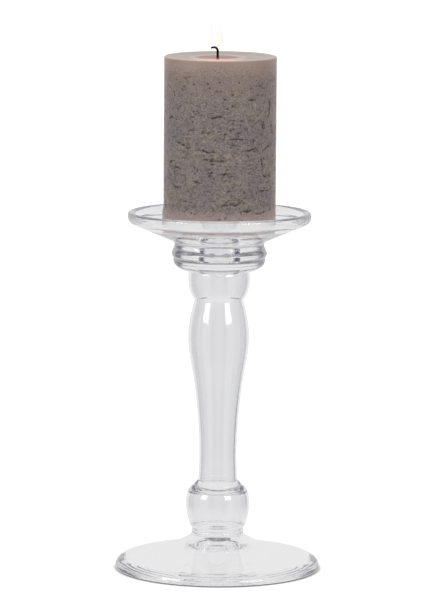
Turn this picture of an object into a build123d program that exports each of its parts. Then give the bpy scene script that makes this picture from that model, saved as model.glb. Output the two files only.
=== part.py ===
"""A hand-made clear glass candlestick with a pillar candle standing in its dish.

The glass is made of gathers joined hot, one on top of the other: a spun foot, a thin merese, a
hollow knop, a bead, a hollow baluster, a hollow upper knop, a cupped merese, a collar round a
second air space and a shallow dish. The candle stands loose on the dish and lifts off.

Frame: millimetres, +Z up, origin on the table under the middle of the foot.
"""

import math
import os

from build123d import *

# Driving dimensions: the glass, from the table up
foot_radius = 64.2
foot_height = 22.0
foot_merese_height = 2.4
lower_knop_height = 28.2
stem_bead_height = 2.8
baluster_height = 114.2
upper_knop_height = 18.2
cup_merese_height = 9.0
collar_height = 7.6
dish_height = 20.8

foot_neck_radius = 16.2
lower_knop_radius = 20.0
lower_knop_neck_radius = 15.2
stem_neck_radius = 12.3
stem_slim_radius = 11.7
baluster_radius = 19.0
waist_radius = 15.0
upper_knop_radius = 19.2
collar_radius = 29.8
dish_neck_radius = 28.0
dish_radius = 57.2

wall = 1.6
knop_wall = 1.5
collar_bore_radius = 10.0
drip_radius = 7.0
drip_length = 4.2
edge_round = 1.1

# The foot's underside
foot_ring_inner_radius = 57.0
foot_ring_outer_radius = 63.2
foot_toe_height = 1.3
foot_rim_height = 7.8
pontil_radius = 15.0
pontil_edge_height = 10.6
pontil_crown_height = 13.5

# The dish
dish_floor_radius = 37.0
dish_floor_thickness = 11.6
dish_lip_radius = 1.7
dish_lip_degrees = 40.0
dish_void_height = 4.0

# The candle
candle_radius = 35.0
candle_height = 106.2
candle_gap = 0.1
candle_bottom_round = 1.5
candle_rim_round = 0.8
well_radius = 33.2
well_depth = 0.8
pool_radius = 14.8
pool_depth = 2.2
wick_radius = 0.75
wick_exposed = 4.0
wick_curl_radius = 2.3
wick_curl_degrees = 105.0
wick_tip_length = 1.4
tab_radius = 8.0
tab_thickness = 0.4
tab_neck_radius = 1.3
tab_neck_height = 4.0

# Heights above the table of the joints between the gathers
z_merese = foot_height
z_lower_knop = z_merese + foot_merese_height
z_stem_bead = z_lower_knop + lower_knop_height
z_baluster = z_stem_bead + stem_bead_height
z_upper_knop = z_baluster + baluster_height
z_cup = z_upper_knop + upper_knop_height
z_collar = z_cup + cup_merese_height
z_dish = z_collar + collar_height
z_lip = z_dish + dish_height
z_floor = z_dish + dish_floor_thickness

os.makedirs("parts", exist_ok=True)


def save(piece, name):
    """Label a finished piece and write it as its own STEP file."""
    piece.part.label = name
    export_step(piece.part, f"parts/{name}.step")


# Foot: a solid spun disc with a round rim, swept up in a trumpet curve to a short neck. It stands
# on a flat ring; inside the ring the underside is domed, with a ground hollow in the middle.
with BuildPart() as foot:
    with BuildSketch(Plane.XZ):
        with BuildLine():
            toe = TangentArc((foot_ring_outer_radius, 0), (foot_radius, foot_toe_height), tangent=(1, 0))
            rim = Bezier(
                toe @ 1,
                (foot_radius, foot_toe_height + 3.8),
                (foot_radius - 4.2, foot_rim_height - 0.6),
                (foot_radius - 9.0, foot_rim_height),
            )
            sweep_up = Bezier(
                rim @ 1,
                (foot_radius - 25.0, foot_rim_height + 2.6),
                (foot_neck_radius + 4.3, foot_height - 6.0),
                (foot_neck_radius, foot_height),
            )
            Line(sweep_up @ 1, (0, foot_height))
            Line((0, foot_height), (0, pontil_crown_height))
            pontil = ThreePointArc(
                (0, pontil_crown_height),
                (pontil_radius * 0.53, pontil_crown_height - 0.9),
                (pontil_radius, pontil_edge_height),
            )
            dome = Spline(
                pontil @ 1,
                (24.0, 7.8),
                (34.0, 4.6),
                (46.0, 2.0),
                (foot_ring_inner_radius, 0),
            )
            Line(dome @ 1, toe @ 0)
        make_face()
    revolve(axis=Axis.Z)
save(foot, "foot")

# Foot merese: a thin round-edged button of glass between the foot and the lower knop.
with BuildPart() as foot_merese:
    with BuildSketch(Plane.XY.offset(z_merese)):
        Circle(foot_neck_radius + 0.2)
    extrude(amount=foot_merese_height)
    fillet(foot_merese.edges(), edge_round)
save(foot_merese, "foot_merese")

# Lower knop: a blown ball with a square shoulder. Its air space is flat above and below.
knop_line = [
    (foot_neck_radius - 0.3, 0.0),
    (lower_knop_radius - 1.9, 5.0),
    (lower_knop_radius, 15.5),
    (lower_knop_radius - 0.7, 22.4),
    (lower_knop_radius - 2.6, 26.2),
    (lower_knop_neck_radius, lower_knop_height),
]
with BuildPart() as lower_knop:
    with BuildSketch(Plane.XZ):
        with BuildLine():
            outside = Spline([(r, z_lower_knop + z) for r, z in knop_line])
            Line(outside @ 1, (0, z_stem_bead))
            Line((0, z_stem_bead), (0, z_lower_knop))
            Line((0, z_lower_knop), outside @ 0)
        make_face()
        with BuildLine():
            bubble_wall = Spline([(r - knop_wall, z_lower_knop + z) for r, z in knop_line[1:4]])
            bubble_floor = Spline(
                (0, z_lower_knop + 1.6),
                (10.5, z_lower_knop + 2.0),
                bubble_wall @ 0,
                tangents=[(1, 0), bubble_wall % 0],
            )
            bubble_roof = Spline(
                bubble_wall @ 1,
                (13.0, z_lower_knop + 24.0),
                (0, z_lower_knop + 24.4),
                tangents=[bubble_wall % 1, (-1, 0)],
            )
            Line(bubble_roof @ 1, bubble_floor @ 0)
        make_face(mode=Mode.SUBTRACT)
    revolve(axis=Axis.Z)
save(lower_knop, "lower_knop")

# Stem bead: a rounded bead of glass where the baluster was set down on the knop.
with BuildPart() as stem_bead:
    with BuildSketch(Plane.XZ):
        with BuildLine():
            bead = Spline(
                (lower_knop_neck_radius - 0.4, z_stem_bead),
                (lower_knop_neck_radius - 0.9, z_stem_bead + 1.0),
                (stem_neck_radius + 0.2, z_baluster),
                tangents=[(0.3, 1), (-1, 0.6)],
            )
            Line(bead @ 1, (0, z_baluster))
            Line((0, z_baluster), (0, z_stem_bead))
            Line((0, z_stem_bead), bead @ 0)
        make_face()
    revolve(axis=Axis.Z)
save(stem_bead, "stem_bead")

# Baluster: the blown stem, a tube with an even wall, slim below and full above.
baluster_line = [
    (stem_neck_radius, 0.0),
    (stem_slim_radius, 12.0),
    (stem_slim_radius + 1.0, 40.0),
    (stem_slim_radius + 4.2, 67.0),
    (baluster_radius, 92.0),
    (baluster_radius - 1.2, 103.0),
    (waist_radius, baluster_height),
]
with BuildPart() as baluster:
    with BuildSketch(Plane.XZ):
        with BuildLine():
            outside = Spline([(r, z_baluster + z) for r, z in baluster_line])
            inside = Spline([(r - wall, z_baluster + z) for r, z in baluster_line])
            Line(outside @ 0, inside @ 0)
            Line(outside @ 1, inside @ 1)
        make_face()
    revolve(axis=Axis.Z)
save(baluster, "baluster")

# Upper knop: a short hollow ball that shares its air space with the baluster.
upper_knop_line = [
    (waist_radius, 0.0),
    (upper_knop_radius - 1.1, 6.0),
    (upper_knop_radius, 11.4),
    (upper_knop_radius - 0.4, upper_knop_height),
]
with BuildPart() as upper_knop:
    with BuildSketch(Plane.XZ):
        with BuildLine():
            outside = Spline([(r, z_upper_knop + z) for r, z in upper_knop_line])
            inside = Spline([(r - wall, z_upper_knop + z) for r, z in upper_knop_line])
            Line(outside @ 0, inside @ 0)
            Line(outside @ 1, inside @ 1)
        make_face()
    revolve(axis=Axis.Z)
save(upper_knop, "upper_knop")

# Cup merese: a cupped solid disc that closes the air space, with a drip of glass hanging in it.
with BuildPart() as cup_merese:
    with BuildSketch(Plane.XZ):
        with BuildLine():
            drip = Bezier(
                (0, z_cup - drip_length),
                (drip_radius * 0.45, z_cup - drip_length),
                (drip_radius * 0.65, z_cup - 1.2),
                (drip_radius, z_cup),
            )
            Line(drip @ 1, (upper_knop_radius - 0.4, z_cup))
            cup = Bezier(
                (upper_knop_radius - 0.4, z_cup),
                (collar_radius - 5.5, z_cup + 0.6),
                (collar_radius + 0.1, z_collar - 5.0),
                (collar_radius - 1.2, z_collar),
            )
            Line(cup @ 1, (0, z_collar))
            Line((0, z_collar), drip @ 0)
        make_face()
    revolve(axis=Axis.Z)
save(cup_merese, "cup_merese")

# Collar: a thick ring with a bulged edge under the dish. Its bore is the second air space.
with BuildPart() as collar:
    with BuildSketch(Plane.XZ):
        with BuildLine():
            bulge = Spline(
                (collar_radius - 1.2, z_collar),
                (collar_radius, z_collar + 2.2),
                (dish_neck_radius, z_dish),
                tangents=[(1, 0.8), (-0.25, 1)],
            )
            Line(bulge @ 1, (collar_bore_radius, z_dish))
            Line((collar_bore_radius, z_dish), (collar_bore_radius, z_collar))
            Line((collar_bore_radius, z_collar), bulge @ 0)
        make_face()
    revolve(axis=Axis.Z)
save(collar, "collar")

# Dish: a shallow bowl with a flat floor, a wide sloping side and a thin round lip. The air space
# in the collar ends in a low dome under the floor.
lip_slope = math.radians(dish_lip_degrees)
lip_end = (
    dish_radius - dish_lip_radius * (1 + math.sin(lip_slope)),
    z_lip - dish_lip_radius * (1 - math.cos(lip_slope)),
)
z_void = z_dish + dish_void_height
with BuildPart() as dish:
    with BuildSketch(Plane.XZ):
        with BuildLine():
            neck = TangentArc(
                (dish_neck_radius, z_dish),
                (dish_neck_radius + 1.9, z_dish + 2.9),
                tangent=(0, 1),
            )
            under = TangentArc(neck @ 1, (54.0, z_dish + 13.0), tangent=neck % 1)
            edge = TangentArc(under @ 1, (dish_radius, z_lip - dish_lip_radius), tangent=under % 1)
            lip = TangentArc(edge @ 1, lip_end, tangent=(0, 1))
            side = Bezier(
                lip @ 1,
                (lip_end[0] - 3.8, lip_end[1] - 3.2),
                (dish_floor_radius + 9.5, z_floor + 0.2),
                (dish_floor_radius, z_floor),
            )
            Line(side @ 1, (0, z_floor))
            Line((0, z_floor), (0, z_void))
            void = ThreePointArc(
                (0, z_void),
                (collar_bore_radius * 0.7, z_void - dish_void_height * 0.15),
                (collar_bore_radius, z_dish),
            )
            Line(void @ 1, neck @ 0)
        make_face()
    revolve(axis=Axis.Z)
save(dish, "dish")

# Candle: heights of its parts above the table
z_wax = z_floor + candle_gap
z_rim = z_wax + candle_height
z_pool = z_rim - well_depth


def draw_bed():
    """The curve from the edge of the melted wax down and in to the wick's axis."""
    return Spline(
        (pool_radius, z_pool),
        (pool_radius - 5.0, z_pool - pool_depth + 0.5),
        (0, z_pool - pool_depth),
        tangents=[(-0.4, -1), (-1, 0)],
    )


# Wax body: a cylinder with rounded edges, a shallow burning well, a bed for the melted wax, a
# hole for the wick and a recess underneath for the wick's tab.
with BuildPart() as wax_body:
    with BuildSketch(Plane.XY.offset(z_wax)):
        Circle(candle_radius)
    extrude(amount=candle_height)
    fillet(wax_body.edges().group_by(Axis.Z)[-1], candle_rim_round)
    fillet(wax_body.edges().group_by(Axis.Z)[0], candle_bottom_round)
    with BuildSketch(Plane.XZ):
        with BuildLine():
            well = Spline(
                (well_radius, z_rim),
                (pool_radius + 8.0, z_rim - well_depth * 0.7),
                (pool_radius, z_pool),
                tangents=[(-1, -0.05), (-1, 0)],
            )
            bed = draw_bed()
            Line(bed @ 1, (0, z_rim))
            Line((0, z_rim), well @ 0)
        make_face()
    revolve(axis=Axis.Z, mode=Mode.SUBTRACT)
    with BuildSketch(Plane.XY.offset(z_wax)):
        Circle(tab_radius)
    extrude(amount=tab_thickness, mode=Mode.SUBTRACT)
    with BuildSketch(Plane.XY.offset(z_wax)):
        Circle(tab_neck_radius)
    extrude(amount=tab_thickness + tab_neck_height, mode=Mode.SUBTRACT)
    with BuildSketch(Plane.XY.offset(z_wax)):
        Circle(wick_radius)
    extrude(amount=candle_height, mode=Mode.SUBTRACT)
save(wax_body, "wax_body")

# Melt pool: the melted wax lying in its bed round the wick.
with BuildPart() as melt_pool:
    with BuildSketch(Plane.XZ):
        with BuildLine():
            bed = draw_bed()
            Line(bed @ 1, (0, z_pool))
            Line((0, z_pool), bed @ 0)
        make_face()
    revolve(axis=Axis.Z)
    with BuildSketch(Plane.XY.offset(z_pool)):
        Circle(wick_radius)
    extrude(amount=-pool_depth, mode=Mode.SUBTRACT)
save(melt_pool, "melt_pool")

# Wick: a cord up the middle of the candle, with its burnt end curled over to one side.
with BuildPart() as wick:
    with BuildLine(Plane.XZ):
        straight = Line((0, z_wax + tab_thickness), (0, z_pool + wick_exposed))
        curl = CenterArc((-wick_curl_radius, z_pool + wick_exposed), wick_curl_radius, 0, wick_curl_degrees)
        PolarLine(curl @ 1, wick_tip_length, 90 + wick_curl_degrees)
    with BuildSketch(Plane.XY.offset(z_wax + tab_thickness)):
        Circle(wick_radius)
    sweep()
save(wick, "wick")

# Wick tab: the tinned disc that holds the wick's foot, with a neck crimped round the wick.
with BuildPart() as wick_tab:
    with BuildSketch(Plane.XY.offset(z_wax)):
        Circle(tab_radius)
    extrude(amount=tab_thickness)
    with BuildSketch(Plane.XY.offset(z_wax + tab_thickness)):
        Circle(tab_neck_radius)
        Circle(wick_radius, mode=Mode.SUBTRACT)
    extrude(amount=tab_neck_height)
save(wick_tab, "wick_tab")
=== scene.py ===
"""The looks of a glass candlestick and its rustic pillar candle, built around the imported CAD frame.

Every round piece is turned from its CAD node's own section, so it lies exactly where the CAD says.
Where two gathers of glass are fused, their common face is clear, so light runs on as in one solid.
"""

import math
import random

import bpy
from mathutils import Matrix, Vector, noise


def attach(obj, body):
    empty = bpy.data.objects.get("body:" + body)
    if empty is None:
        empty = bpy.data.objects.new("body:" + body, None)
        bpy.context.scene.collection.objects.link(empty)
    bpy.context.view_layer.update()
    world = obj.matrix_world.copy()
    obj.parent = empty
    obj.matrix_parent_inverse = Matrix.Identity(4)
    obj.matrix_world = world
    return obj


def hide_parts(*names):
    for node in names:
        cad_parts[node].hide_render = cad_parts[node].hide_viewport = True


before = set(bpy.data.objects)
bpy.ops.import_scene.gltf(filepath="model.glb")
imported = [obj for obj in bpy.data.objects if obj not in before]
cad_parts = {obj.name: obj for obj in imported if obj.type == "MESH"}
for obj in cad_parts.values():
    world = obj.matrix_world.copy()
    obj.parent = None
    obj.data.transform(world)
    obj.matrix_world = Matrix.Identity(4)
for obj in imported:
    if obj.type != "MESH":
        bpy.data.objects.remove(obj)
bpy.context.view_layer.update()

MM = 0.001
TINY = 4e-6

GLASS_NODES = [
    "foot", "foot_merese", "lower_knop", "stem_bead", "baluster",
    "upper_knop", "cup_merese", "collar", "dish",
]
GLASS_TURNS = 192
GLASS_STEP = 0.55 * MM
GLASS_IOR = 1.5
CREASE = math.radians(33)


def clamped(value):
    """A number kept within 0 and 1."""
    return min(1.0, max(0.0, value))


def noise_at(x, y, z):
    """Smooth noise at a place, about -1 to 1."""
    return noise.noise(Vector((x, y, z)))


# ---------------------------------------------------------------------------------------------
# Sections: the half outline of a round CAD node, as (radius, height) points

def seam_runs(node):
    """The runs of a round node's section that its mesh has an edge along, in the +X half plane."""
    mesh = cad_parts[node].data
    points, at = [], {}
    for v in mesh.vertices:
        if abs(v.co.y) < TINY and v.co.x > -TINY:
            p = (max(v.co.x, 0.0), v.co.z)
            for i, q in enumerate(points):
                if math.dist(p, q) < TINY:
                    at[v.index] = i
                    break
            else:
                at[v.index] = len(points)
                points.append(p)
    links = {i: set() for i in range(len(points))}
    for edge in mesh.edges:
        a, b = (at.get(i) for i in edge.vertices)
        if a is not None and b is not None and a != b:
            links[a].add(b)
            links[b].add(a)
    left = {i for i in links if links[i]}
    runs = []
    while left:
        here = min(left, key=lambda i: (len(links[i] & left), i))
        run = [here]
        left.discard(here)
        while links[here] & left:
            here = min(links[here] & left)
            run.append(here)
            left.discard(here)
        if run[0] in links[run[-1]] and len(run) > 2:
            run.append(run[0])
        runs.append([points[i] for i in run])
    return runs


def heading(a, b):
    """The angle of the step from a to b."""
    return math.atan2(b[1] - a[1], b[0] - a[0])


def creased(a, b, c):
    """True where the path a, b, c turns sharply at b."""
    turn = heading(b, c) - heading(a, b)
    return abs((turn + math.pi) % (2 * math.pi) - math.pi) > CREASE


def level(a, b):
    """True where two points of a section are at the same height."""
    return abs(a[1] - b[1]) < TINY


def sections(node):
    """A node's section as loops of points, the solid's own loop first, run anticlockwise.

    A loop that starts and ends on the axis is open. A flat end has no seam edge in the mesh, so it
    is put back here: as a step to the axis, or across to the run that ends at the same height.
    """
    runs = seam_runs(node)
    loops = []
    while runs:
        ends = [p for run in runs for p in (run[0], run[-1])]

        def meets_axis(p):
            """True for a run's end on the axis, or one whose height no other end shares."""
            return p[0] < TINY or sum(level(p, q) for q in ends) == 1

        loop = next((r for r in runs if meets_axis(r[0]) or meets_axis(r[-1])), runs[0])
        runs.remove(loop)
        if not meets_axis(loop[0]):
            loop = loop[::-1]
        solid_core = meets_axis(loop[0])
        while not meets_axis(loop[-1]):
            end = loop[-1]
            follow = next((r for r in runs if level(r[0], end) or level(r[-1], end)), None)
            if follow is None:
                break
            runs.remove(follow)
            loop = loop + (follow if level(follow[0], end) else follow[::-1])
        if solid_core:
            if loop[0][0] > TINY:
                loop = [(0.0, loop[0][1])] + loop
            if loop[-1][0] > TINY:
                loop = loop + [(0.0, loop[-1][1])]
        elif math.dist(loop[0], loop[-1]) < TINY:
            loop = loop[:-1]
        loops.append((loop, not solid_core))
    loops.sort(key=lambda item: -abs(area(item[0])))
    turned_right = []
    for i, (loop, closed) in enumerate(loops):
        if (area(loop) < 0) == (i == 0):
            loop = loop[::-1]
        if closed:
            start = next(
                k for k in range(len(loop))
                if creased(loop[k - 1], loop[k], loop[(k + 1) % len(loop)])
            )
            loop = loop[start:] + loop[:start + 1]
        turned_right.append((loop, closed))
    return turned_right


def area(loop):
    """Twice the signed area inside a loop, positive when it runs anticlockwise."""
    return sum(a[0] * b[1] - b[0] * a[1] for a, b in zip(loop, loop[1:] + loop[:1]))


def refined(path, step):
    """A path with a point every step: smooth between its creases, with its flats untouched."""
    cuts = [0]
    cuts += [i for i in range(1, len(path) - 1) if creased(*path[i - 1:i + 2])]
    cuts.append(len(path) - 1)
    out = [path[0]]
    for first, last in zip(cuts, cuts[1:]):
        part = [Vector(p) for p in path[first:last + 1]]
        gaps = [(b - a).length for a, b in zip(part, part[1:])]
        slopes = [(b - a) / g for a, b, g in zip(part, part[1:], gaps)]
        tangents = []
        for s, t, g, h in zip(slopes, slopes[1:], gaps, gaps[1:]):
            if max(g, h) > 2.5 * min(g, h):
                tangents.append(s if g > h else t)
            else:
                tangents.append((s * h + t * g) / (g + h))
        first_slope = 1.5 * slopes[0] - 0.5 * tangents[0] if tangents else slopes[0]
        last_slope = 1.5 * slopes[-1] - 0.5 * tangents[-1] if tangents else slopes[0]
        tangents = [first_slope] + tangents + [last_slope]
        for a, b, m, n, g in zip(part, part[1:], tangents, tangents[1:], gaps):
            count = 1 if level(a, b) else max(1, round(g / step))
            for k in range(1, count + 1):
                t = k / count
                p = (
                    (1 + 2 * t) * (1 - t) ** 2 * a + t * (1 - t) ** 2 * g * m
                    + t * t * (3 - 2 * t) * b + t * t * (t - 1) * g * n
                )
                out.append((max(p.x, 0.0), p.y))
    return out


def with_stops(path, radii, widest):
    """The path with its flat steps cut at the given radii, and into steps no wider than widest."""
    out = [path[0]]
    for p, q in zip(path, path[1:]):
        here = p[0]
        if level(p, q):
            stops = [r for r in radii if min(p[0], q[0]) + TINY < r < max(p[0], q[0]) - TINY]
            stops = sorted(stops, reverse=q[0] < p[0]) + [q[0]]
            for stop in stops:
                count = max(1, math.ceil(abs(stop - here) / widest))
                out += [(here + (stop - here) * k / count, q[1]) for k in range(1, count + 1)]
                here = stop
        else:
            out.append(q)
    return out


def turned(name, paths, turns, shape=None, slot_of=None):
    """A mesh turned about the Z axis from (path, closed) pairs.

    shape moves each point, and slot_of picks a face's material by the two ends of its step.
    """
    verts, faces, slots = [], [], []
    for path, closed in paths:
        rows = []
        for r, z in path[:-1] if closed else path:
            start = len(verts)
            if r < TINY:
                verts.append(Vector((0, 0, z)))
                rows.append([start] * turns)
            else:
                angles = [2 * math.pi * j / turns for j in range(turns)]
                verts += [Vector((r * math.cos(a), r * math.sin(a), z)) for a in angles]
                rows.append(list(range(start, start + turns)))
        if closed:
            rows.append(rows[0])
        for low, high, p, q in zip(rows, rows[1:], path, path[1:]):
            slot = slot_of(p, q) if slot_of else 0
            for j in range(turns):
                k = (j + 1) % turns
                corners = list(dict.fromkeys((low[j], low[k], high[k], high[j])))
                if len(corners) > 2:
                    faces.append(corners)
                    slots.append(slot)
    if shape:
        verts = [shape(v) for v in verts]
    mesh = bpy.data.meshes.new(name)
    mesh.from_pydata(verts, [], faces)
    mesh.polygons.foreach_set("material_index", slots)
    mesh.polygons.foreach_set("use_smooth", [True] * len(faces))
    mesh.set_sharp_from_angle(angle=CREASE)
    mesh.validate()
    obj = bpy.data.objects.new(name, mesh)
    bpy.context.scene.collection.objects.link(obj)
    return obj


# ---------------------------------------------------------------------------------------------
# Materials

def give(node, **inputs):
    """Sets a node's plain input values by name; underscores stand for spaces."""
    for key, value in inputs.items():
        node.inputs[key.replace("_", " ")].default_value = value


def node_tree(name, **inputs):
    """A new material, its node tree and its Principled shader with plain values set by name."""
    material = bpy.data.materials.new(name)
    material.use_nodes = True
    tree = material.node_tree
    shader = tree.nodes["Principled BSDF"]
    give(shader, **inputs)
    return material, tree, shader


def bare_tree(name):
    """A new material, its node tree without a shader, and the output socket to wire one to."""
    material = bpy.data.materials.new(name)
    material.use_nodes = True
    tree = material.node_tree
    tree.nodes.remove(tree.nodes["Principled BSDF"])
    return material, tree, tree.nodes["Material Output"].inputs["Surface"]


def add(tree, kind, **inputs):
    """A new node with its plain input values set by name."""
    node = tree.nodes.new(kind)
    give(node, **inputs)
    return node


def feed(tree, socket, value):
    """Links a socket to another one, or gives it a plain number, point or colour."""
    if isinstance(value, bpy.types.NodeSocket):
        tree.links.new(value, socket)
    elif socket.type == "RGBA":
        socket.default_value = (*value, 1)
    else:
        socket.default_value = value


def worked_out(tree, operation, *terms, kind="ShaderNodeMath"):
    """The value of a math or vector math node; each term may be a socket or a plain value."""
    node = add(tree, kind)
    node.operation = operation
    for socket, term in zip(node.inputs, terms):
        feed(tree, socket, term)
    return node.outputs["Value"]


def blended(tree, factor, first, second):
    """Two shaders blended by a factor, which is a socket: all of the second where it is 1."""
    node = add(tree, "ShaderNodeMixShader")
    for socket, source in zip(node.inputs, (factor, first.outputs[0], second.outputs[0])):
        tree.links.new(source, socket)
    return node


def noise_value(tree, coords, scale, detail=4.0, rough=0.55, stretch=(1, 1, 1)):
    """Noise from 0 to 1 in the object's own space, stretched along its axes."""
    mapping = add(tree, "ShaderNodeMapping", Scale=stretch)
    tree.links.new(coords.outputs["Object"], mapping.inputs["Vector"])
    texture = add(tree, "ShaderNodeTexNoise", Scale=scale, Detail=detail, Roughness=rough)
    tree.links.new(mapping.outputs["Vector"], texture.inputs["Vector"])
    return texture.outputs["Fac"]


def ramp(tree, source, stops):
    """A colour ramp from (place, colour) stops, places in 0 to 1; a bare number is a grey."""
    node = add(tree, "ShaderNodeValToRGB")
    elements = node.color_ramp.elements
    elements.remove(elements[1])
    for i, (place, colour) in enumerate(stops):
        element = elements.new(place) if i else elements[0]
        element.position = place
        grey = isinstance(colour, (int, float))
        element.color = (colour, colour, colour, 1) if grey else (*colour, 1)
    tree.links.new(source, node.inputs["Fac"])
    return node.outputs["Color"]


def mixed(tree, factor, a, b, mode="MIX"):
    """Two colours mixed by a factor; each of the three may be a socket or a plain value."""
    node = add(tree, "ShaderNodeMix")
    node.data_type = "RGBA"
    node.blend_type = mode
    for index, value in ((0, factor), (6, a), (7, b)):
        feed(tree, node.inputs[index], value)
    return node.outputs[2]


def bump(tree, relief, strength, depth, normal=None):
    """A bumped normal from a relief socket, on top of another bumped normal if one is given."""
    node = add(tree, "ShaderNodeBump", Strength=strength, Distance=depth)
    tree.links.new(relief, node.inputs["Height"])
    if normal is not None:
        tree.links.new(normal, node.inputs["Normal"])
    return node.outputs["Normal"]


def clear_glass():
    """Hand-worked glass: clear, with faint waves round it and finer draw lines along it."""
    material, tree, shader = node_tree(
        "clear_glass", Base_Color=(0.985, 0.985, 0.99, 1), Transmission_Weight=1.0, IOR=GLASS_IOR,
        Roughness=0.0,
    )
    coords = add(tree, "ShaderNodeTexCoord")
    waves = noise_value(tree, coords, 70, detail=1.0, stretch=(1, 1, 0.6))
    lines = noise_value(tree, coords, 260, detail=2.0, stretch=(1, 1, 0.12))
    normal = bump(tree, waves, 0.12, 0.4 * MM)
    normal = bump(tree, lines, 0.05, 0.2 * MM, normal)
    tree.links.new(normal, shader.inputs["Normal"])
    return material


def fused_face():
    """The common face of two fused gathers, which light passes as if it weren't there."""
    material, tree, surface = bare_tree("fused_face")
    clear = add(tree, "ShaderNodeBsdfTransparent")
    tree.links.new(clear.outputs[0], surface)
    return material


def ground_glass():
    """The scar in the middle of the pontil: rough, frosted glass, its darker marks partly painted
    shade.
    """
    material, tree, shader = node_tree(
        "ground_glass", Transmission_Weight=0.3, IOR=GLASS_IOR, Roughness=0.35,
    )
    coords = add(tree, "ShaderNodeTexCoord")
    marks = noise_value(tree, coords, 300, detail=3.0, rough=0.6, stretch=(1, 0.5, 1))
    colour = ramp(tree, marks, [
        (0.41, (0.10, 0.10, 0.14)), (0.50, (0.28, 0.28, 0.34)), (0.59, (0.66, 0.66, 0.72)),
    ])
    tree.links.new(colour, shader.inputs["Base Color"])
    return material


# ---------------------------------------------------------------------------------------------
# The glass

# The pontil's scar lies between these heights, on the underside of the foot
PONTIL_FROM = 12.2 * MM
PONTIL_TO = 14.0 * MM
SCAR_RADIUS = 6.0 * MM
SCAR_RELIEF = 0.55 * MM

CLEAR_SLOT, FUSED_SLOT, GROUND_SLOT = 0, 1, 2


def hand_made(v):
    """Moves a point of the glass a little in or out, by where it is, so fused faces still meet.

    The pontil's scar is rough as well, up and down.
    """
    r = math.hypot(v.x, v.y)
    if r < TINY:
        return v
    lean = noise_at(v.x * 22, v.y * 22, v.z * 16)
    fine = noise_at(v.x * 70 + 5, v.y * 70, v.z * 30)
    push = (0.16 * lean + 0.05 * fine) * MM * min(1.0, r / (8 * MM))
    scar = 0.0
    if PONTIL_FROM < v.z < PONTIL_TO:
        rough = noise_at(v.x * 420, v.y * 420, 1.7) + 0.6 * noise_at(v.x * 900, v.y * 900, 4.1)
        scar = SCAR_RELIEF * rough * clamped((SCAR_RADIUS - r) / MM)
    return Vector((v.x * (1 + push / r), v.y * (1 + push / r), v.z + scar))


def make_glass():
    """The gathers, each a closed mesh whose faces against its neighbours are clear.

    Gives back the pieces, for the light that reaches only them.
    """
    glass, fused, ground = clear_glass(), fused_face(), ground_glass()
    paths = {
        node: [(refined(path, GLASS_STEP), closed) for path, closed in sections(node)]
        for node in GLASS_NODES
    }

    def flats(node):
        """The height, inner and outer radius of each of a node's flat faces."""
        for path, _ in paths[node]:
            for p, q in zip(path, path[1:]):
                if level(p, q) and abs(p[0] - q[0]) > MM:
                    yield p[1], min(p[0], q[0]), max(p[0], q[0])

    joints = []
    for below, above in zip(GLASS_NODES, GLASS_NODES[1:]):
        for z, inner, outer in flats(below):
            for z2, inner2, outer2 in flats(above):
                inside, outside = max(inner, inner2), min(outer, outer2)
                if abs(z - z2) < TINY and outside > inside + TINY:
                    joints.append((z, inside, outside))
    assert len(joints) == len(GLASS_NODES) - 1, joints

    def slot_of(p, q):
        """Which material the faces of a step have: the scar's, the fused one or clear glass."""
        middle = (p[0] + q[0]) / 2
        if middle < SCAR_RADIUS and PONTIL_FROM < p[1] < PONTIL_TO:
            return GROUND_SLOT
        fused_here = level(p, q) and any(
            abs(p[1] - z) < TINY and inside < middle < outside for z, inside, outside in joints
        )
        return FUSED_SLOT if fused_here else CLEAR_SLOT

    radii = [SCAR_RADIUS] + [r for _, inside, outside in joints for r in (inside, outside)]
    pieces = []
    for node in GLASS_NODES:
        stopped = [(with_stops(path, radii, 3 * MM), closed) for path, closed in paths[node]]
        piece = turned(f"glass_{node}", stopped, GLASS_TURNS, hand_made, slot_of)
        piece.data.materials.append(glass)
        piece.data.materials.append(fused)
        if node == "foot":
            piece.data.materials.append(ground)
        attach(piece, "candlestick")
        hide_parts(node)
        piece.visible_shadow = False
        piece.visible_diffuse = False
        pieces.append(piece)
    return pieces


glass_pieces = make_glass()


# ---------------------------------------------------------------------------------------------
# The candle

WAX_RADIUS = 35.0 * MM
WAX_TURNS = 440
WAX_STEP = 0.5 * MM
WAX_BOTTOM = 216.1 * MM
WAX_RIM = 322.3 * MM
WAX_HEIGHT = WAX_RIM - WAX_BOTTOM
POOL_LEVEL = 321.5 * MM
POOL_RADIUS = 14.8 * MM
POOL_TURNS = 128
# The looks of the candle's top end between these distances from its middle
TOP_INNER = 32.5 * MM
TOP_OUTER = 34.5 * MM
WICK_LEAN = -1.8 * MM
RIM_TILT = 0.024

WAX_MAUVE = (0.242, 0.200, 0.199)
WAX_TAUPE = (0.273, 0.222, 0.204)
WAX_OLIVE = (0.297, 0.243, 0.194)
# The dark of the hairline cracks, and of the painted shade in the fissures and pits
WAX_CRACKS_AND_SHADE = (0.065, 0.042, 0.026)
WAX_TOP_AND_GLOW = (0.55, 0.415, 0.340)
WAX_TOP_WARM_GLOW = (0.375, 0.268, 0.213)
WAX_FOOT = (0.54, 0.400, 0.362)
WAX_PALEST_FOOT = (0.80, 0.735, 0.745)
WAX_PAINTED_HIGHLIGHT = (0.80, 0.620, 0.530)

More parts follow.
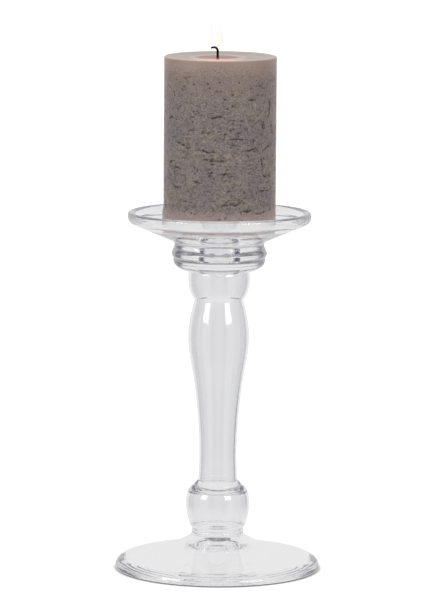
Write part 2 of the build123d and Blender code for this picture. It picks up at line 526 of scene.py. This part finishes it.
# The deepest fissures in the cast skin: bearing in degrees from the front towards the right,
# height above the wax's foot, length and rise along it, in millimetres
MAIN_FISSURES = [
    (-3, 71.5, 9.0, -0.3), (19, 57.8, 11.5, -0.2), (-14, 50.2, 12.0, -1.2), (32, 50.8, 13.0, 1.6),
    (-42, 53.5, 12.0, -4.5), (-6, 44.6, 15.0, -0.4), (55, 51.5, 12.0, 5.5), (-31, 63.0, 6.0, 0.4),
    (48, 42.0, 2.5, -7.5), (52, 34.0, 4.0, -3.0), (49, 66.5, 1.2, 7.0), (60, 76.0, 1.0, 9.0),
    (-58, 42.5, 6.0, 1.5), (-50, 39.0, 5.0, -0.6), (54, 25.0, 14.0, 0.8), (12, 17.0, 16.0, 1.0),
    (-24, 31.0, 8.0, -0.5), (28, 13.0, 10.0, 0.8), (-2, 95.0, 2.2, -0.6), (-36, 95.5, 9.0, 0.8),
    (-18, 79.0, 5.0, 0.3), (34, 82.0, 5.0, -0.6), (-60, 70.0, 5.0, 1.2), (5, 36.0, 7.0, 0.2),
]
SMALL_FISSURES = 330
PITS = 900
SKIN_SEED = 7


def off_centre(v):
    """Shifts the well and the pool a little to the left, as the wick leans in the wax.

    The shift fades out from the middle to the rim. The top is also a little higher behind than in
    front, since the wax has burnt down unevenly.
    """
    r = math.hypot(v.x, v.y)
    inward = clamped((33.0 * MM - r) / (16.0 * MM))
    up = clamped((v.z - WAX_BOTTOM) / WAX_HEIGHT)
    return Vector((v.x + WICK_LEAN * inward * up, v.y, v.z + RIM_TILT * v.y * up))


def skin_depth():
    """How deep the cast skin is cut at each cell of a bearing by height grid, 0 to 1.

    Each fissure wanders along its way, and some throw off a branch; small pits lie between them.
    """
    rng = random.Random(SKIN_SEED)
    columns, rows = WAX_TURNS, int(WAX_HEIGHT / WAX_STEP) + 1
    cell = 2 * math.pi * WAX_RADIUS / columns
    depth = [[0.0] * columns for _ in range(rows)]

    def dent(along, up, radius, amount):
        """Deepens the cells round a place, most in the middle."""
        reach_i, reach_j = int(radius / WAX_STEP) + 1, int(radius / cell) + 1
        i0, j0 = round(up / WAX_STEP), round(along / cell)
        for i in range(max(0, i0 - reach_i), min(rows, i0 + reach_i + 1)):
            for j in range(j0 - reach_j, j0 + reach_j + 1):
                d = math.hypot(i * WAX_STEP - up, j * cell - along) / radius
                if d < 1:
                    depth[i][j % columns] = max(depth[i][j % columns], amount * (1 - d * d))

    def fissure(along, up, run, rise, amount):
        """Dents the skin along a wandering line, centred on a place, that fades out at its ends."""
        length = math.hypot(run, rise)
        count = max(3, int(length / (0.3 * MM)))
        phase = rng.uniform(0, 50)
        branch = rng.random()
        for k in range(count + 1):
            t = k / count
            taper = math.sin(math.pi * min(max(t, 0.04), 0.96)) ** 0.5
            sway = noise_at(phase, t * length / (4 * MM), 0) * 0.9 * MM
            break_up = noise_at(phase + 9, t * length / (1.7 * MM), 0)
            here = amount * taper * clamped(0.72 + 1.1 * break_up)
            across, above = along + run * (t - 0.5), up + rise * (t - 0.5)
            dent(across, above + sway, (0.45 + 0.35 * here) * MM, here)
            if amount > 0.5 and abs(t - branch) < 0.5 / count:
                lift = rng.choice((-1, 1)) * rng.uniform(1.2, 3.5) * MM
                fissure(across, above + lift / 2, 1.5 * MM, lift, amount * 0.6)

    for bearing_deg, up, run, rise in MAIN_FISSURES:
        along = math.radians(bearing_deg - 90) * WAX_RADIUS
        fissure(along, up * MM, run * MM, rise * MM, 1.0)
    for _ in range(SMALL_FISSURES):
        along = rng.uniform(0, 2 * math.pi) * WAX_RADIUS
        up = (6 + 92 * rng.random() ** 1.15) * MM
        run = rng.uniform(1.5, 9.0) * MM
        tilt = rng.gauss(0, 0.16) if rng.random() < 0.82 else rng.uniform(-1.5, 1.5)
        fissure(along, up, run * math.cos(tilt), run * math.sin(tilt), rng.uniform(0.15, 0.75))
    for _ in range(PITS):
        along = rng.uniform(0, 2 * math.pi) * WAX_RADIUS
        up = (4 + 94 * rng.random()) * MM
        dent(along, up, rng.uniform(0.45, 0.95) * MM, rng.uniform(0.25, 0.8))
    return depth


def rustic_wax():
    """Cast wax: mottled taupe, painted shade in its fissures, a smooth top with painted glow, pale at
    the foot.
    """
    material, tree, shader = node_tree(
        "rustic_wax", Sheen_Weight=0.35, Sheen_Roughness=0.4, Emission_Strength=1.0,
        Subsurface_Weight=0.12, Subsurface_Radius=(1.0, 0.55, 0.4), Subsurface_Scale=2.2 * MM,
    )
    coords = add(tree, "ShaderNodeTexCoord")
    up = height(tree, coords)
    clouds = noise_value(tree, coords, 55, detail=3.0, stretch=(1, 1, 1.5))
    blotch = noise_value(tree, coords, 260, detail=4.0, rough=0.65, stretch=(1, 1, 1.3))
    grain = noise_value(tree, coords, 850, detail=3.0, rough=0.7, stretch=(1, 1, 1.3))
    hairlines = noise_value(tree, coords, 120, detail=5.0, rough=0.6, stretch=(0.55, 0.55, 3.2))
    cut = add(tree, "ShaderNodeAttribute")
    cut.attribute_name = "cut"

    # The mottled, speckled ground
    base = ramp(tree, clouds, [(0.30, WAX_MAUVE), (0.52, WAX_TAUPE), (0.72, WAX_OLIVE)])
    tone = ramp(tree, blotch, [(0.28, 0.80), (0.50, 1.0), (0.72, 1.16)])
    colour = mixed(tree, 1.0, base, tone, "MULTIPLY")
    speck = ramp(tree, grain, [(0.28, 0.45), (0.50, 1.0), (0.72, 1.60)])
    colour = mixed(tree, 1.0, colour, speck, "MULTIPLY")

    # Hairline cracks, only on the body and only in the darker blotches
    thin = ramp(tree, hairlines, [(0.482, 0.0), (0.497, 0.8), (0.503, 0.8), (0.518, 0.0)])
    where = ramp(tree, blotch, [(0.38, 1.0), (0.52, 0.0)])
    lines = mixed(tree, 1.0, thin, where, "MULTIPLY")
    body = ramp(tree, up, [(0.03, 0.25), (0.12, 1.0), (0.86, 1.0), (0.93, 0.0)])
    lines = mixed(tree, 1.0, lines, body, "MULTIPLY")
    colour = mixed(tree, lines, colour, WAX_CRACKS_AND_SHADE)

    # The smooth top, lighter and warmer towards the rim: partly the smooth wax, partly a painted glow
    # of the flame's light; with a ragged lower edge
    swing = add(tree, "ShaderNodeMapRange", To_Min=-0.12, To_Max=0.12)
    tree.links.new(grain, swing.inputs["Value"])
    ragged = worked_out(tree, "ADD", swing.outputs["Result"], up)
    warm = ramp(tree, ragged, [(0.74, 0.0), (0.88, 0.5)])
    colour = mixed(tree, warm, colour, WAX_TOP_WARM_GLOW)
    smooth = ramp(tree, ragged, [(0.905, 0.0), (0.935, 0.6), (0.975, 1.0)])
    band = mixed(tree, clouds, WAX_TOP_WARM_GLOW, WAX_TOP_AND_GLOW)
    colour = mixed(tree, smooth, colour, band)

    # A painted highlight on the rim's rounded edge and round the pool's edge, and painted shade on
    # the top between them
    edge = ramp(tree, up, [(0.991, 0.0), (0.998, 0.7), (1.0, 0.25)])
    colour = mixed(tree, edge, colour, WAX_PAINTED_HIGHLIGHT)
    pool_edge_highlight = ramp(tree, distance(tree, coords, (WICK_LEAN, 0, POOL_LEVEL)), [
        (14.6 * MM, 0.0), (15.0 * MM, 0.9), (16.3 * MM, 0.8), (18.5 * MM, 0.0),
    ])
    colour = mixed(tree, pool_edge_highlight, colour, WAX_PAINTED_HIGHLIGHT)
    off_axis = distance(tree, coords, (0, 0, WAX_RIM))
    inside = ramp(tree, off_axis, [(TOP_INNER, 0.74), (TOP_OUTER, 1.0)])
    colour = mixed(tree, 1.0, colour, inside, "MULTIPLY")

    # Paler towards the foot, and palest on its lowest edge
    foot = ramp(tree, up, [(0.0, 1.0), (0.055, 0.75), (0.13, 0.0)])
    colour = mixed(tree, foot, colour, WAX_FOOT)
    bottom = ramp(tree, up, [(0.0, 1.0), (0.022, 0.9), (0.034, 0.0)])
    colour = mixed(tree, bottom, colour, WAX_PALEST_FOOT)

    # The fissures and pits that the shape is cut by, darkened with their depth as painted shade
    fissure_shade = ramp(tree, cut.outputs["Fac"], [(0.08, 0.0), (0.45, 0.8), (0.9, 1.0)])
    colour = mixed(tree, fissure_shade, colour, WAX_CRACKS_AND_SHADE)
    tree.links.new(colour, shader.inputs["Base Color"])

    # The surface, and a painted glow of the flame's light in it
    gloss = ramp(tree, blotch, [(0.3, 0.62), (0.7, 0.48)])
    tree.links.new(gloss, shader.inputs["Roughness"])
    normal = bump(tree, blotch, 0.5, 0.35 * MM)
    normal = bump(tree, grain, 0.35, 0.12 * MM, normal)
    tree.links.new(normal, shader.inputs["Normal"])
    tree.links.new(painted_flame_glow(tree, coords), shader.inputs["Emission Color"])
    return material


def height(tree, coords):
    """How far up the wax a point is, 0 at its foot and 1 at its rim."""
    place = add(tree, "ShaderNodeSeparateXYZ")
    tree.links.new(coords.outputs["Object"], place.inputs[0])
    node = add(tree, "ShaderNodeMapRange", From_Min=WAX_BOTTOM, From_Max=WAX_RIM)
    tree.links.new(place.outputs["Z"], node.inputs["Value"])
    return node.outputs["Result"]


def painted_flame_glow(tree, coords):
    """A painted glow: the flame's light let through the wax in front of the wick, given as emission
    and fading out over the well.
    """
    spot = distance(tree, coords, (-2 * MM, -24 * MM, WAX_RIM))
    warm = ramp(tree, spot, [
        (0.0, (0.50, 0.17, 0.10)), (10 * MM, (0.38, 0.12, 0.07)),
        (18 * MM, (0.10, 0.03, 0.02)), (27 * MM, (0, 0, 0)),
    ])
    off_axis = distance(tree, coords, (0, 0, WAX_RIM))
    top_only = ramp(tree, off_axis, [(TOP_INNER, 1.0), (TOP_OUTER - 0.3 * MM, 0.0)])
    return mixed(tree, 1.0, warm, top_only, "MULTIPLY")


def distance(tree, coords, point):
    """How far each place is from a point of the object."""
    place = coords.outputs["Object"]
    return worked_out(tree, "DISTANCE", place, point, kind="ShaderNodeVectorMath")


def make_wax():
    """The pillar: a turned body, a little out of round, with its side cut by fissures and pits."""
    depth = skin_depth()
    paths = [(refined(path, WAX_STEP), closed) for path, closed in sections("wax_body")]
    cuts = []

    def cast(v):
        """Pushes a point of the side in or out, and notes how deep the skin is cut there."""
        r = math.hypot(v.x, v.y)
        cut = 0.0
        if r > WAX_RADIUS - 0.4 * MM:
            i = min(max(round((v.z - WAX_BOTTOM) / WAX_STEP), 0), len(depth) - 1)
            j = round(math.atan2(v.y, v.x) / (2 * math.pi) * WAX_TURNS) % WAX_TURNS
            up = (v.z - WAX_BOTTOM) / WAX_HEIGHT
            skin = clamped((0.93 - up) / 0.06) * min(1.0, up / 0.03)
            cut = depth[i][j] * skin
        cuts.append(cut)
        if r < WAX_RADIUS - 2 * MM:
            return off_centre(v)
        lean = noise_at(v.x * 30, v.y * 30, v.z * 22)
        fine = noise_at(v.x * 260, v.y * 260, v.z * 300)
        above = v.z - WAX_BOTTOM
        low = max(0.0, 1 - above / (13 * MM))
        slump = max(0.0, -v.x / r) ** 2 * min(1.0, 3 * low) * min(1.0, 0.3 + above / MM)
        push = (0.10 * lean + 0.05 * fine - 0.45 * cut + 0.8 * slump) * MM
        return off_centre(Vector((v.x * (1 + push / r), v.y * (1 + push / r), v.z)))

    wax = turned("rustic_wax", paths, WAX_TURNS, cast)
    layer = wax.data.attributes.new("cut", "FLOAT", "POINT")
    layer.data.foreach_set("value", cuts)
    wax.data.materials.append(rustic_wax())
    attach(wax, "candle")
    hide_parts("wax_body")


def melted_wax():
    """The melted wax: glossy, deep and reddish, paler where it thins out at its edge."""
    material, tree, shader = node_tree(
        "melted_wax", Roughness=0.12, IOR=1.09, Emission_Strength=1.0,
        Subsurface_Weight=0.3, Subsurface_Radius=(1.0, 0.4, 0.25), Subsurface_Scale=2.0 * MM,
    )
    coords = add(tree, "ShaderNodeTexCoord")
    swirl = noise_value(tree, coords, 160, detail=2.0)
    deep = ramp(tree, distance(tree, coords, (WICK_LEAN, 0, POOL_LEVEL)), [
        (2.0 * MM, (0.18, 0.035, 0.022)), (11.8 * MM, (0.26, 0.065, 0.045)),
        (14.0 * MM, (0.56, 0.27, 0.21)), (15.0 * MM, (0.72, 0.46, 0.38)),
    ])
    tone = ramp(tree, swirl, [(0.3, 0.85), (0.7, 1.15)])
    colour = mixed(tree, 1.0, deep, tone, "MULTIPLY")
    tree.links.new(colour, shader.inputs["Base Color"])
    # The painted glow of the flame's light, given as emission
    tree.links.new(painted_flame_glow(tree, coords), shader.inputs["Emission Color"])
    normal = bump(tree, swirl, 0.15, 0.3 * MM)
    tree.links.new(normal, shader.inputs["Normal"])
    return material


def make_pool():
    """The melted wax in its bed, drawn up a little at its edge and round the wick."""
    paths = [(refined(path, 0.5 * MM), closed) for path, closed in sections("melt_pool")]
    paths = [(with_stops(path, [], 0.6 * MM), closed) for path, closed in paths]

    def meniscus(v):
        """Lifts the surface at the wick and lets it sag between there and its edge."""
        r = math.hypot(v.x, v.y)
        if abs(v.z - POOL_LEVEL) > TINY or r > POOL_RADIUS - 0.1 * MM:
            return off_centre(v)
        climb = 0.30 * math.exp(-(r - 0.75 * MM) / (0.7 * MM)) - 0.10 * (1 - (r / POOL_RADIUS) ** 6)
        return off_centre(Vector((v.x, v.y, v.z + climb * MM)))

    pool = turned("melted_wax_pool", paths, POOL_TURNS, meniscus)
    pool.data.materials.append(melted_wax())
    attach(pool, "candle")
    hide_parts("melt_pool")


def tube(name, points, radii, sides, twist=0.0, ridge=0.0):
    """A closed tube along points in the XZ plane, with plaited ridges that wind round it."""
    verts, faces = [], []
    for i, (p, radius) in enumerate(zip(points, radii)):
        before, after = points[max(i - 1, 0)], points[min(i + 1, len(points) - 1)]
        along = (Vector(after) - Vector(before)).normalized()
        side = Vector((0, 1, 0))
        out = along.cross(side)
        for j in range(sides):
            a = 2 * math.pi * j / sides
            plait = 1 + ridge * math.cos(3 * a + twist * i) * math.cos(3 * a - twist * i)
            verts.append(Vector(p) + radius * plait * (math.cos(a) * side + math.sin(a) * out))
    for i in range(len(points) - 1):
        for j in range(sides):
            k = (j + 1) % sides
            faces.append((i * sides + j, i * sides + k, (i + 1) * sides + k, (i + 1) * sides + j))
    for row, order in ((0, -1), (len(points) - 1, 1)):
        tip = len(verts)
        ring = [row * sides + j for j in range(sides)]
        verts.append(sum((verts[k] for k in ring), Vector()) / sides)
        faces += [(ring[j], ring[(j + 1) % sides], tip)[::order] for j in range(sides)]
    mesh = bpy.data.meshes.new(name)
    mesh.from_pydata(verts, [], faces)
    mesh.polygons.foreach_set("use_smooth", [True] * len(faces))
    mesh.validate()
    obj = bpy.data.objects.new(name, mesh)
    bpy.context.scene.collection.objects.link(obj)
    return obj


def wick_cotton():
    """Plaited cotton, burnt black above the wax, with grey ash on its raised strands."""
    material, tree, shader = node_tree("wick_cotton", Roughness=0.85, Specular_IOR_Level=0.15)
    coords = add(tree, "ShaderNodeTexCoord")
    fibre = noise_value(tree, coords, 2600, detail=3.0, stretch=(1, 1, 0.3))
    burnt = ramp(tree, height(tree, coords), [(0.96, 1.0), (0.985, 0.0)])
    raw = ramp(tree, fibre, [(0.3, (0.40, 0.34, 0.26)), (0.7, (0.66, 0.60, 0.50))])
    char = ramp(tree, fibre, [(0.4, (0.004, 0.003, 0.003)), (0.85, (0.03, 0.024, 0.022))])
    colour = mixed(tree, burnt, char, raw)
    tree.links.new(colour, shader.inputs["Base Color"])
    normal = bump(tree, fibre, 0.6, 0.1 * MM)
    tree.links.new(normal, shader.inputs["Normal"])
    return material


def make_wick():
    """The wick: straight up the wax, then curling over to the left with a thinner, frayed end."""
    bottom, bend = 216.5 * MM, 325.5 * MM
    radius, curl, tail_length = 0.80 * MM, 2.3 * MM, 1.35 * MM
    curl_angle = math.radians(105)
    straight_steps, curl_steps, tail_steps = 240, 14, 5
    points = [(0, 0, bottom + (bend - bottom) * i / straight_steps) for i in range(straight_steps)]
    for i in range(curl_steps + 1):
        a = curl_angle * i / curl_steps
        points.append((-curl + curl * math.cos(a), 0, bend + curl * math.sin(a)))
    onward = curl_angle + math.pi / 2
    tail = Vector((math.cos(onward), 0, math.sin(onward)))
    end = Vector(points[-1])
    points += [tuple(end + tail * tail_length * k / tail_steps) for k in range(1, tail_steps + 1)]
    radii = []
    for i in range(len(points)):
        past = max(0, i - straight_steps) / (len(points) - 1 - straight_steps)
        radii.append(radius * (0.97 - 0.27 * past ** 1.5))
    points = [(x + WICK_LEAN * min(1.0, (z - WAX_BOTTOM) / WAX_HEIGHT), y, z) for x, y, z in points]
    wick = tube("plaited_wick", points, radii, 24, twist=0.9, ridge=0.05)
    wick.data.materials.append(wick_cotton())
    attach(wick, "candle")
    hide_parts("wick")


def tinned_sheet():
    """The wick tab's tinned sheet: bright, faintly spangled, with fine rolling lines."""
    material, tree, shader = node_tree("tab_metal", Metallic=1.0)
    coords = add(tree, "ShaderNodeTexCoord")
    spangle = noise_value(tree, coords, 420, detail=2.0)
    rolled = noise_value(tree, coords, 700, detail=2.0, stretch=(1, 0.05, 1))
    colour = ramp(tree, spangle, [(0.3, (0.52, 0.52, 0.54)), (0.7, (0.74, 0.74, 0.76))])
    tree.links.new(colour, shader.inputs["Base Color"])
    gloss = ramp(tree, rolled, [(0.3, 0.22), (0.7, 0.42)])
    tree.links.new(gloss, shader.inputs["Roughness"])
    normal = bump(tree, rolled, 0.2, 0.05 * MM)
    tree.links.new(normal, shader.inputs["Normal"])
    return material


def dress_tab():
    """The wick tab keeps its CAD shape and gets its metal."""
    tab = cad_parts["wick_tab"]
    tab.data.materials.clear()
    tab.data.materials.append(tinned_sheet())


def flame_material(name, body, shares):
    """Burning gas over clear air: the stops give its share from the middle (0) to the edge (1)."""
    material, tree, surface = bare_tree(name)
    clear = add(tree, "ShaderNodeBsdfTransparent", Color=(1, 1, 1, 1))
    lit = add(tree, "ShaderNodeEmission", Color=(*body, 1), Strength=1.0)
    side = add(tree, "ShaderNodeLayerWeight", Blend=0.5)
    share = ramp(tree, side.outputs["Facing"], shares)
    mix = blended(tree, share, clear, lit)
    tree.links.new(mix.outputs[0], surface)
    return material


FLAME_TURNS = 64
FLAME_STEPS = 60


def blaze(name, material, foot, top, widths, lean):
    """One body of the flame.

    widths are its radii in millimetres at even steps up, and lean is its shift at foot and top.
    """
    path = [(0.0, foot)]
    for i in range(1, FLAME_STEPS):
        t = i / FLAME_STEPS
        k = min(int(t * (len(widths) - 1)), len(widths) - 2)
        u = t * (len(widths) - 1) - k
        u = u * u * (3 - 2 * u)
        path.append(((widths[k] * (1 - u) + widths[k + 1] * u) * MM, foot + (top - foot) * t))
    path.append((0.0, top))

    def leaning(v):
        """Shifts a point sideways by its height, with a slight waver."""
        t = (v.z - foot) / (top - foot)
        flicker = noise_at(t * 2.2, 3.1, 0) * 0.5 * MM * t
        return v + Vector((lean[0] + (lean[1] - lean[0]) * t + flicker, 0, 0))

    flame = turned(name, [(path, False)], FLAME_TURNS, leaning)
    flame.data.materials.append(material)
    flame.visible_shadow = False
    flame.visible_diffuse = False
    flame.visible_glossy = False
    flame.visible_transmission = False
    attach(flame, "candle")


def make_flame():
    """The flame: a tall clear sheath that leans to the left, and a short creamy heart in it."""
    dense_edge = [(0.1, 0.0), (0.55, 0.25), (1.0, 0.8)]
    dense_middle = [(0.0, 0.5), (0.35, 0.35), (0.9, 0.0)]
    sheath = flame_material("flame_sheath", (0.72, 0.73, 0.76), dense_edge)
    heart = flame_material("flame_heart", (1.0, 0.94, 0.78), dense_middle)
    blaze(
        "flame_sheath", sheath, foot=327.4 * MM, top=347.8 * MM,
        widths=(0.6, 3.0, 3.6, 3.5, 3.1, 2.6, 1.9, 0.4), lean=(-1.4 * MM, -4.2 * MM),
    )
    blaze(
        "flame_heart", heart, foot=328.0 * MM, top=341.0 * MM,
        widths=(0.8, 2.4, 2.5, 1.9, 1.2, 0.6, 0.1), lean=(-0.8 * MM, -1.8 * MM),
    )


make_wax()
make_pool()
make_wick()
dress_tab()
make_flame()


# ---------------------------------------------------------------------------------------------
# Stage, light and camera

def bearing(tree, vector):
    """The bearing of a point or direction, 0 to 1, and its height.

    A half is straight behind the object, and a quarter is on its left.
    """
    split = add(tree, "ShaderNodeSeparateXYZ")
    tree.links.new(vector, split.inputs[0])
    angle = worked_out(tree, "ARCTAN2", split.outputs["X"], split.outputs["Y"])
    return worked_out(tree, "MULTIPLY_ADD", angle, 0.5 / math.pi, 0.5), split.outputs["Z"]


# The surroundings' colours, and where they stand by bearing in degrees: 0 is in front of the
# object, 90 on its left and 180 behind it
SWEEP = (0.82, 0.82, 0.82)
ROOM = (0.10, 0.10, 0.14)
FILL = (0.45, 0.45, 0.48)
SOFT = (0.30, 0.30, 0.33)
CEILING = (0.45, 0.45, 0.47)
STUDIO = [
    (0, SOFT), (4, SOFT), (22, ROOM), (30, ROOM), (40, FILL), (68, FILL), (76, ROOM), (83, ROOM),
    (86, FILL), (94, FILL), (97, ROOM), (110, ROOM), (128, (0.30, 0.30, 0.36)), (140, SWEEP),
    (220, SWEEP), (226, (0.16, 0.16, 0.20)), (250, ROOM), (263, ROOM), (266, FILL), (274, FILL),
    (277, ROOM), (284, ROOM), (292, FILL), (320, FILL), (332, ROOM), (338, ROOM), (356, SOFT),
    (359, SOFT),
]


def studio_ramp(tree, place):
    """What stands round the object by bearing.

    It is the lit sweep behind, then screens and the darker room between them.
    """
    return ramp(tree, place, [(angle / 360, colour) for angle, colour in STUDIO])


FLOOR_HALF = 14.0
FLOOR_PAPER = (0.3, 0.3, 0.3)
# The foot's shade on the floor: its centre, and the radii between which it fades out
CONTACT_CENTRE = (0, -1.7 * MM, 0)
CONTACT_FROM = 63.2 * MM
CONTACT_TO = 64.4 * MM


def make_floor():
    """A wide pale floor, shaded where the foot rests on it.

    Seen directly it is white; in the glass it is the grey of a studio sweep.
    """
    mesh = bpy.data.meshes.new("floor")
    corners = [(FLOOR_HALF * x, FLOOR_HALF * y, 0) for x, y in ((-1, -1), (1, -1), (1, 1), (-1, 1))]
    mesh.from_pydata(corners, [], [(0, 1, 2, 3)])
    floor = bpy.data.objects.new("floor", mesh)
    bpy.context.scene.collection.objects.link(floor)
    floor.location.z = -0.2 * MM
    material, tree, surface = bare_tree("floor")
    coords = add(tree, "ShaderNodeTexCoord")

    # What the camera sees
    off_centre_of_foot = distance(tree, coords, CONTACT_CENTRE)
    contact = ramp(tree, off_centre_of_foot, [(CONTACT_FROM, 0.10), (CONTACT_TO, 1.0)])
    thin = mixed(tree, 1.0, contact, FLOOR_PAPER, "MULTIPLY")
    paper = add(tree, "ShaderNodeBsdfDiffuse")
    tree.links.new(thin, paper.inputs["Color"])
    glow = add(tree, "ShaderNodeEmission", Strength=0.9)
    tree.links.new(contact, glow.inputs["Color"])
    seen = add(tree, "ShaderNodeAddShader")
    tree.links.new(paper.outputs[0], seen.inputs[0])
    tree.links.new(glow.outputs[0], seen.inputs[1])

    # What shows in the glass
    place, _ = bearing(tree, coords.outputs["Object"])
    around = studio_ramp(tree, place)
    reach = worked_out(tree, "LENGTH", coords.outputs["Object"], kind="ShaderNodeVectorMath")
    spread = ramp(tree, reach, [(90 * MM, 0.0), (300 * MM, 1.0)])
    shade = mixed(tree, spread, SWEEP, around)
    sweep = add(tree, "ShaderNodeEmission", Strength=1.0)
    tree.links.new(shade, sweep.inputs["Color"])

    path = add(tree, "ShaderNodeLightPath")
    pick = blended(tree, path.outputs["Is Camera Ray"], sweep, seen)
    tree.links.new(pick.outputs[0], surface)
    mesh.materials.append(material)


def make_world():
    """Studio surroundings: a pale sweep behind, lit screens and darker, cooler gaps between them.

    The camera sees white instead, and the matt surfaces are lit by an even grey.
    """
    world = bpy.data.worlds.new("studio")
    bpy.context.scene.world = world
    world.use_nodes = True
    tree = world.node_tree
    coords = add(tree, "ShaderNodeTexCoord")
    place, up = bearing(tree, coords.outputs["Generated"])
    around = studio_ramp(tree, place)
    overhead = ramp(tree, up, [(0.75, 0.0), (0.9, 1.0)])
    shade = mixed(tree, overhead, around, CEILING)
    path = add(tree, "ShaderNodeLightPath")
    seen = mixed(tree, path.outputs["Is Camera Ray"], shade, (1.0, 1.0, 1.0))
    lit = mixed(tree, path.outputs["Is Diffuse Ray"], seen, (0.75, 0.75, 0.75))
    background = tree.nodes["Background"]
    tree.links.new(lit, background.inputs["Color"])
    background.inputs["Strength"].default_value = 1.0


def aim(obj, target):
    """Turns a light towards a point."""
    obj.rotation_euler = (Vector(target) - obj.location).to_track_quat("-Z", "Y").to_euler()


def share_light(obj, pieces, share):
    """Lets a light reach only the given pieces, or with EXCLUDE everything else."""
    group = bpy.data.collections.new(f"{obj.name}_pieces")
    for piece in pieces:
        group.objects.link(piece)
    for entry in group.collection_objects:
        entry.light_linking.link_state = share
    obj.light_linking.receiver_collection = group


def seen_once(light):
    """Keeps a softbox out of the glass's inner faces, so an outer face carries one clean glint."""
    light.use_nodes = True
    tree = light.node_tree
    path = add(tree, "ShaderNodeLightPath")
    outer = worked_out(tree, "LESS_THAN", path.outputs["Transmission Depth"], 0.5)
    tree.links.new(outer, tree.nodes["Emission"].inputs["Strength"])


SOFTBOX_DISTANCE = 1.6


def make_softbox(name, azimuth, low, high, width, strength, share):
    """A tall upright area light, by its azimuth from the camera's side; it faces the object."""
    light = bpy.data.lights.new(name, "AREA")
    light.shape = "RECTANGLE"
    light.size = width
    light.size_y = high - low
    light.energy = strength * width * (high - low) * math.pi
    obj = bpy.data.objects.new(name, light)
    bpy.context.scene.collection.objects.link(obj)
    a = math.radians(azimuth)
    middle = (low + high) / 2
    obj.location = (SOFTBOX_DISTANCE * math.sin(a), -SOFTBOX_DISTANCE * math.cos(a), middle)
    aim(obj, (0, 0, middle))
    share_light(obj, glass_pieces, share)
    if share == "INCLUDE":
        seen_once(light)


LENS = 238.8
SENSOR_WIDTH = 36.0
CAMERA_DISTANCE = 2.47
CAMERA_HEIGHT = 0.495
CAMERA_TILT = math.radians(7.506)
CAMERA_ROLL = math.radians(0.375)
CAMERA_SIDESTEP = -0.0003


def make_camera():
    """A long lens from a little above, looking slightly down."""
    data = bpy.data.cameras.new("camera")
    data.lens = LENS
    data.sensor_width = SENSOR_WIDTH
    data.clip_end = 60
    camera = bpy.data.objects.new("camera", data)
    bpy.context.scene.collection.objects.link(camera)
    camera.location = (CAMERA_SIDESTEP, -CAMERA_DISTANCE, CAMERA_HEIGHT)
    camera.rotation_euler = (math.pi / 2 - CAMERA_TILT, 0, 0)
    camera.rotation_euler.rotate_axis("Z", CAMERA_ROLL)
    bpy.context.scene.camera = camera


make_floor()
make_world()
for side, azimuth in (("softbox_left", -55), ("softbox_right", 40)):
    make_softbox(side, azimuth, low=0.36, high=1.10, width=0.60, strength=3.4, share="EXCLUDE")
    make_softbox(
        f"{side}_glint", azimuth, low=0.42, high=1.14, width=0.76, strength=6.5, share="INCLUDE",
    )
make_camera()

# Enough for light to cross every face of the glass
BOUNCES = 128
scene = bpy.context.scene
scene.view_settings.view_transform = "Standard"
scene.cycles.max_bounces = BOUNCES
scene.cycles.transmission_bounces = BOUNCES
scene.cycles.glossy_bounces = BOUNCES
scene.cycles.transparent_max_bounces = BOUNCES
scene.cycles.caustics_reflective = False
scene.cycles.caustics_refractive = False
